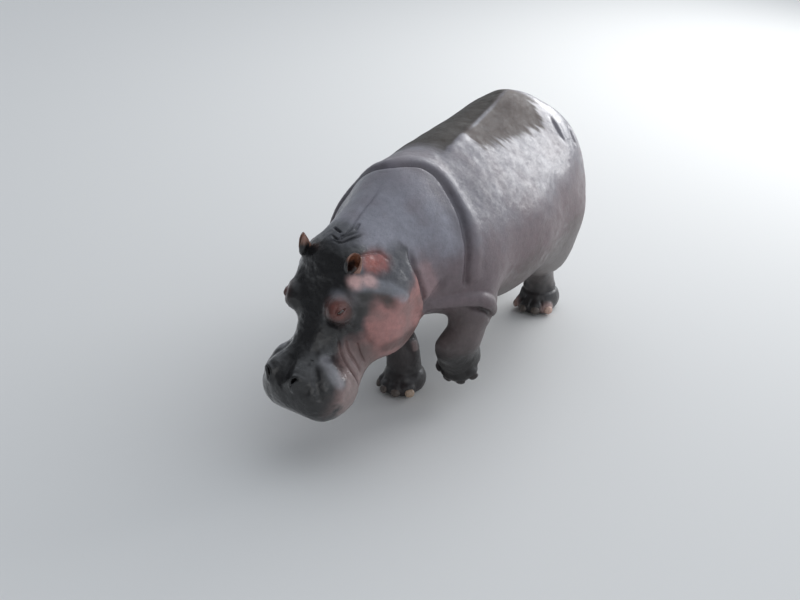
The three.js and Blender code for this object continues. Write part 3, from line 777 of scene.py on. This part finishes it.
def paint_muzzle(paint):
    """A painted highlight on the lip pad, and the lips' grey-pink rolls with dark lines of painted shade
    between.
    """
    # A painted highlight along the lip pad.
    paint.streaks(LIP_PAD_HIGHLIGHT, PAD_HIGHLIGHT_LINE, 0.037, 0.36, 0.50)
    paint.streaks(LIPS, MOUTH[1:], 0.020, 0.4, 0.8)
    paint.streaks(LIPS, LIP_FOLD, 0.020, 0.4, 0.7)
    # Painted shade in the creases of the mouth and the lip fold.
    paint.streaks(LIP_CREASE_SHADE, MOUTH, 0.005, 0.35, 0.8)
    paint.streaks(LIP_CREASE_SHADE, LIP_FOLD, 0.004, 0.35, 0.6)


def set_tint(mesh, tints):
    """Writes a colour for each point of a mesh to its attribute `tint`."""
    tint = mesh.attributes.new("tint", "FLOAT_COLOR", "POINT")
    opaque = np.column_stack([tints, np.ones(len(tints))])
    tint.data.foreach_set("color", opaque.astype(np.float32).ravel())


def paint_hide(mesh):
    """Writes the layers to the mesh as a colour attribute and a roughness attribute."""
    points = np.empty((len(mesh.vertices), 3))
    mesh.vertices.foreach_get("co", points.ravel())
    paint = Paint(points)
    paint_body(paint)
    paint_head(paint)
    paint_ears(paint)
    set_tint(mesh, paint.colour)
    rough = mesh.attributes.new("rough", "FLOAT", "POINT")
    rough.data.foreach_set("value", paint.rough.astype(np.float32))


# ---------------------------------------------------------------- materials


def material(name, **values):
    """A new material and its shader, with these values on the shader's sockets."""
    made = bpy.data.materials.new(name)
    made.use_nodes = True
    shader = made.node_tree.nodes["Principled BSDF"]
    for key, value in values.items():
        shader.inputs[key.replace("_", " ")].default_value = value
    return made, shader


class Nodes:
    """Short calls for shader nodes."""

    def __init__(self, made):
        self.tree = made.node_tree

    def add(self, kind, output=0, settings=(), **inputs):
        """One output of a new node whose inputs are given by name, or by number as i0, i1 and so on."""
        node = self.tree.nodes.new("ShaderNode" + kind)
        for key, value in dict(settings).items():
            setattr(node, key, value)
        for key, value in inputs.items():
            numbered = key[0] == "i" and key[1:].isdigit()
            self.plug(node.inputs[int(key[1:]) if numbered else key], value)
        return node.outputs[output]

    def plug(self, socket, value):
        if isinstance(value, bpy.types.NodeSocket):
            self.tree.links.new(value, socket)
        else:
            socket.default_value = value

    def mix(self, kind, share, a, b):
        """One colour mixed over another."""
        return self.add("Mix", 2, {"data_type": "RGBA", "blend_type": kind}, i0=share, i6=a, i7=b)

    def scaled(self, value, low, high, new_low, new_high):
        return self.add("MapRange", 0, {}, i0=value, i1=low, i2=high, i3=new_low, i4=new_high)


def hide_material():
    made, shader = material("wet bare hide", Specular_IOR_Level=0.45, Coat_Roughness=0.20)
    nodes = Nodes(made)
    place = nodes.add("TexCoord", "Object")
    mottle = nodes.add("TexNoise", 0, {}, Vector=place, Scale=28.0, Detail=6.0, Roughness=0.65)
    nodes.plug(shader.inputs["Base Color"], hide_colour(nodes, place, mottle))
    rough = hide_roughness(nodes, mottle)
    nodes.plug(shader.inputs["Roughness"], rough)
    nodes.plug(shader.inputs["Coat Weight"], nodes.scaled(rough, 0.30, 0.54, 0.75, 0.0))
    nodes.plug(shader.inputs["Normal"], hide_bump(nodes, place))
    return made


def hide_colour(nodes, place, mottle):
    """The painted colour, mottled and with small dark specks."""
    tint = nodes.add("Attribute", 0, {"attribute_name": "tint"})
    specks = nodes.add("TexNoise", 0, {}, Vector=place, Scale=140.0, Detail=3.0)
    shade = nodes.scaled(mottle, 0.3, 0.7, 0.82, 1.15)
    dots = nodes.scaled(specks, 0.66, 0.72, 1.0, 0.55)
    both = nodes.add("Math", 0, {"operation": "MULTIPLY"}, i0=shade, i1=dots)
    grey = nodes.add("CombineColor", 0, {}, i0=both, i1=both, i2=both)
    return nodes.mix("MULTIPLY", 1.0, tint, grey)


def hide_roughness(nodes, mottle):
    """The painted roughness, which varies with the mottling."""
    rough = nodes.add("Attribute", 2, {"attribute_name": "rough"})
    wet = nodes.scaled(mottle, 0.3, 0.7, -0.09, 0.10)
    return nodes.add("Math", 0, {"operation": "ADD", "use_clamp": True}, i0=rough, i1=wet)


def hide_bump(nodes, place):
    """Fine grain with a net of bent cracks, about a centimetre across."""
    warp = nodes.add("TexNoise", 1, {}, Vector=place, Scale=30.0, Detail=2.0)
    bent = nodes.add("VectorMath", 0, {"operation": "MULTIPLY_ADD"}, i0=warp, i1=(0.02, 0.02, 0.02), i2=place)
    cells = nodes.add("TexVoronoi", 0, {"feature": "DISTANCE_TO_EDGE"}, Vector=bent, Scale=95.0)
    cracks = nodes.scaled(cells, 0.0, 0.10, 0.0, 1.0)
    fine = nodes.add("TexNoise", 0, {}, Vector=place, Scale=75.0, Detail=6.0, Roughness=0.62)
    height = nodes.add("Math", 0, {"operation": "MULTIPLY_ADD"}, i0=cracks, i1=0.22, i2=fine)
    return nodes.add("Bump", 0, {}, Strength=0.6, Distance=0.0026, Height=height)


def eye_material():
    made, shader = material("dark wet eye", Roughness=0.06, Coat_Weight=1.0, Coat_Roughness=0.02)
    nodes = Nodes(made)
    place = nodes.add("TexCoord", "Object")
    streaks = nodes.add("TexNoise", 0, {}, Vector=place, Scale=300.0, Detail=3.0)
    nodes.plug(shader.inputs["Base Color"], nodes.mix("MIX", streaks, (*EYE_DARK, 1), (*EYE_LIGHT, 1)))
    return made


def nail_material():
    made, shader = material("horny nail", Roughness=0.42, Coat_Weight=0.1, Coat_Roughness=0.3)
    nodes = Nodes(made)
    place = nodes.add("TexCoord", "Object")
    grain = nodes.add("TexNoise", 0, {}, Vector=place, Scale=90.0, Detail=4.0)
    tint = nodes.add("Attribute", 0, {"attribute_name": "tint"})
    grey = nodes.scaled(grain, 0.3, 0.7, 0.75, 1.2)
    shade = nodes.add("CombineColor", 0, {}, i0=grey, i1=grey, i2=grey)
    nodes.plug(shader.inputs["Base Color"], nodes.mix("MULTIPLY", 1.0, tint, shade))
    bump = nodes.add("Bump", 0, {}, Strength=0.4, Distance=0.001, Height=grain)
    nodes.plug(shader.inputs["Normal"], bump)
    return made


# ---------------------------------------------------------------- ears, eyes and nails

EAR = np.array([0.165, -0.048, 0.172])  # where the left ear stands, in the head's own frame
EAR_HEIGHT = 0.112
EAR_THICKNESS = 0.009
EAR_DEPTH = 0.8  # how deep the cup of an ear is, as a share of its width
EAR_PITCH = 3.5  # how far the ears tip, in degrees
EAR_HEADING = 42  # how far their openings turn outwards, in degrees
EAR_LEAN = {1: 26, -1: 6}  # outwards, in degrees, of the left and of the right ear
EAR_SINK = {1: 0.026, -1: 0.012}  # how deep the foot of each ear's leaf sits below EAR


def ear_width(t):
    """How far the leaf of an ear lies from its axis, at a share of its height."""
    return 0.018 + 0.019 * np.sin(0.9 * math.pi * np.clip(t, 0, 1) ** 0.7)


def ear_leaf(rows=44, columns=56):
    """A leaf wrapped round an upright axis into a cup that opens to -Y and has a rounded tip."""
    t = np.linspace(0, 1, rows)[:, None]
    s = np.linspace(-1, 1, columns)[None, :]
    rounding = np.sqrt(1 - np.clip((t - 0.5) / 0.5, 0, 1) ** 2.2)
    angle = s * np.radians(3 + (160 - 75 * t) * rounding)
    width = ear_width(t) * (1 + 0.06 * np.sin(9 * s + 4 * t))
    lean = 0.016 * ramp(t, 0.4, 1.2)
    up = EAR_HEIGHT * t + 0 * angle
    places = np.stack([width * np.sin(angle), EAR_DEPTH * width * np.cos(angle) - lean, up], -1)
    faces = [(r * columns + c, r * columns + c + 1, (r + 1) * columns + c + 1, (r + 1) * columns + c)
             for r in range(rows - 1) for c in range(columns - 1)]
    return places.reshape(-1, 3), faces


def ear_frame(side):
    """Where an ear stands, and its turn: the opening forwards and outwards, the tip up and outwards."""
    turn = turned(EAR_PITCH, HEAD_HEADING) @ turned(0, EAR_HEADING * side, EAR_LEAN[side] * side)
    return from_head(EAR * [side, 1, 1])[0] - EAR_SINK[side] * turn[:, 2], turn


def make_ear(side):
    places, faces = ear_leaf()
    root, turn = ear_frame(side)
    mesh = bpy.data.meshes.new("ear")
    mesh.from_pydata((places @ turn.T + root).tolist(), [], faces)
    ear = new_piece("ear", mesh)
    thick = ear.modifiers.new("thick", "SOLIDIFY")
    thick.thickness = EAR_THICKNESS
    thick.offset = 0
    round_off = ear.modifiers.new("round", "SUBSURF")
    round_off.levels = 1
    applied(ear)
    return ear


def paint_ears(paint):
    """The inside of each ear is orange-brown with painted shade for a dark hole, its back paler, and a
    painted shadow darkens its inner edge below.
    """
    for side in (1, -1):
        root, turn = ear_frame(side)
        x, y, up = ((paint.points - root) @ turn).T
        share = up / EAR_HEIGHT
        reach = np.hypot(x, y / EAR_DEPTH)
        here = (share > 0.12) & (share < 1.1) & (reach < 0.05)
        inside = here * ramp(reach - ear_width(share), -0.001, -0.005)
        paint.lay(EAR_SKIN, here * ramp(share, 0.12, 0.22), 0.45)
        # A painted shadow on the inner edge, low on the ear.
        paint.lay(FACE_AND_SHADE, here * ramp(x * side, -0.010, -0.022) * ramp(share, 0.75, 0.45), 0.35)
        paint.lay(EAR_INSIDE, inside, 0.45)
        # Painted shade where the ear's hole would be, low in the cup.
        paint.lay(EAR_HOLE_SHADE, inside * ramp(share + 6 * abs(x), 0.70, 0.45), 0.4)


def make_eye(side, look):
    name = "eye_left" if side > 0 else "eye_right"
    middle = centre(name)
    work = bmesh.new()
    bmesh.ops.create_uvsphere(work, u_segments=48, v_segments=32, radius=EYE_RADIUS,
                              matrix=Matrix.Translation(middle))
    mesh = bpy.data.meshes.new(name)
    work.to_mesh(mesh)
    work.free()
    mesh.shade_smooth()
    eye = new_piece(name + "_ball", mesh)
    mesh.materials.append(look)
    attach(eye, "root")
    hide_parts(name)


NAIL_SCALE = np.array([1.2, 1.2, 1.15])
NAIL_SWELL = 0.003
PALE_NAILS = {"forefoot_right_nail_inner": colour("b09a86"), "hindfoot_left_nail_outer": colour("c0a193"),
              "hindfoot_left_nail_inner": colour("9a7f76")}


def nail_tint(name):
    usual = LIFTED_NAIL if "forefoot_left" in name else NAIL
    return PALE_NAILS.get(name, usual)


def round_nail(nail):
    """Rounds a nail off and makes it a little larger, in its place."""
    shape = Skin(nail)
    shape.points = shape.relax(0.5, 12)
    foot_of_nail = shape.points.mean(0) * [1, 1, 0] + [0, 0, shape.points[:, 2].min()]
    shape.points = foot_of_nail + (shape.points - foot_of_nail) * NAIL_SCALE
    shape.find_normals()
    shape.push(np.full(len(shape.points), NAIL_SWELL))


def make_nails(look):
    """Each nail is made from its own solid."""
    for name in NAILS:
        nail = new_piece(name.replace("nail", "horn"), NODES[name].data.copy())
        mesh = remesh(nail, NAIL_FACE)
        round_nail(nail)
        mesh.shade_smooth()
        mesh.materials.clear()
        mesh.materials.append(look)
        set_tint(mesh, np.tile(nail_tint(name), (len(mesh.vertices), 1)))
        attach(nail, "root")
        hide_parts(name)


# ---------------------------------------------------------------- putting the skin together


def join_forms(skin):
    """Joins the overhanging forms to the skin, which gets finer faces."""
    work = bmesh.new()
    work.from_mesh(skin.piece.data)
    add_forms(work)
    work.to_mesh(skin.piece.data)
    work.free()
    remesh(skin.piece, SKIN_FACE)
    skin.read()
    skin.points = skin.relax(0.5, 6)
    skin.find_normals()


def refine_head(skin):
    """Smaller faces on the head, for the lids, the lips and the fine wrinkles."""
    local = in_head(skin.points)
    in_front_of_nape = local[:, 1] < 0.12
    above_chest = local[:, 2] > -0.50
    skin.refine(in_front_of_nape & above_chest)


def sculpt(skin):
    """All forms from the large ones to the small ones."""
    sculpt_body(skin)
    sculpt_feet(skin)
    swell_head(skin)
    refine_head(skin)
    skin_noise(skin)
    sculpt_head(skin)
    for side in (1, -1):
        swell_socket(skin, side)
        open_lids(skin, side)
        open_nostril(skin, side)


def join_ears(skin):
    ears = [make_ear(side) for side in (1, -1)]
    with bpy.context.temp_override(active_object=skin.piece, selected_editable_objects=[skin.piece, *ears]):
        bpy.ops.object.join()


def make_skin(look):
    skin = rough_skin()
    smooth_skin(skin)
    join_forms(skin)
    sculpt(skin)
    join_ears(skin)
    mesh = skin.piece.data
    mesh.shade_smooth()
    mesh.materials.clear()
    mesh.materials.append(look)
    paint_hide(mesh)
    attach(skin.piece, "root")
    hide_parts(*SKIN_NODES, *EARS)


# ---------------------------------------------------------------- floor, light and camera

TARGET = Vector((-0.32, 0.168, 0.28))  # the place in the middle of the picture
AROUND = math.radians(30.6)  # how far round the camera stands from straight ahead, towards the left side
ABOVE = math.radians(26.3)
ROLL = math.radians(-1.3)
DISTANCE = 10.0
LENS = 77.625  # millimetres, with a sensor 36 mm wide
FLOOR_REACH = 40


def make_floor():
    mesh = bpy.data.meshes.new("floor")
    corners = [(x * FLOOR_REACH, y * FLOOR_REACH, 0) for x, y in ((-1, -1), (1, -1), (1, 1), (-1, 1))]
    mesh.from_pydata(corners, [], [(0, 1, 2, 3)])
    floor = new_piece("floor", mesh)
    made, _ = material("pale floor", Base_Color=(0.66, 0.66, 0.65, 1), Roughness=0.9)
    mesh.materials.append(made)


def make_light(name, place, aim, size, power):
    """A rectangular light that the camera doesn't see."""
    light = bpy.data.lights.new(name, "AREA")
    light.shape = "RECTANGLE"
    light.size, light.size_y = size
    light.energy = power
    lamp = bpy.data.objects.new(name, light)
    bpy.context.scene.collection.objects.link(lamp)
    lamp.location = place
    lamp.rotation_euler = (Vector(aim) - Vector(place)).to_track_quat("-Z", "Y").to_euler()
    lamp.visible_camera = False


def make_lights():
    make_light("sky behind", (1.6, 6.5, 3.4), (0, 0, 0.9), (7, 3.5), 350)
    make_light("front fill", (4.5, -6.5, 3.0), (0, -0.5, 0.7), (6, 4), 60)


SKY_WAY = unit((0.35, 0.75, 0.55))  # towards the brightest part of the sky
SKY_DIM, SKY_BRIGHT = 0.14, 1.28


def make_world():
    """An overcast sky that is brightest behind the animal, with a white backdrop for the camera."""
    world = bpy.data.worlds.new("studio")
    bpy.context.scene.world = world
    world.use_nodes = True
    nodes = Nodes(world)
    way = nodes.add("VectorMath", 1, {"operation": "DOT_PRODUCT"}, i0=nodes.add("TexCoord", 0), i1=SKY_WAY)
    power = nodes.scaled(way, -0.25, 0.95, SKY_DIM, SKY_BRIGHT)
    light = nodes.add("Background", 0, {}, Color=(0.88, 0.93, 1.0, 1), Strength=power)
    white = nodes.add("Background", 0, {}, Color=(1, 1, 1, 1), Strength=1.0)
    seen = nodes.add("LightPath", "Is Camera Ray")
    both = nodes.add("MixShader", 0, {}, i0=seen, i1=light, i2=white)
    nodes.plug(world.node_tree.nodes["World Output"].inputs[0], both)


def make_camera():
    lens = bpy.data.cameras.new("camera")
    lens.sensor_width = 36
    lens.lens = LENS
    camera = bpy.data.objects.new("camera", lens)
    bpy.context.scene.collection.objects.link(camera)
    back = Vector((math.sin(AROUND) * math.cos(ABOVE), -math.cos(AROUND) * math.cos(ABOVE), math.sin(ABOVE)))
    camera.location = TARGET + back * DISTANCE
    turn = back.to_track_quat("Z", "Y").to_matrix() @ Matrix.Rotation(ROLL, 3, "Z")
    camera.rotation_euler = turn.to_euler()
    bpy.context.scene.camera = camera


hide = hide_material()
make_skin(hide)
eye_look = eye_material()
for side in (1, -1):
    make_eye(side, eye_look)
make_nails(nail_material())
make_floor()
make_lights()
make_world()
make_camera()
bpy.context.scene.view_settings.view_transform = "Standard"
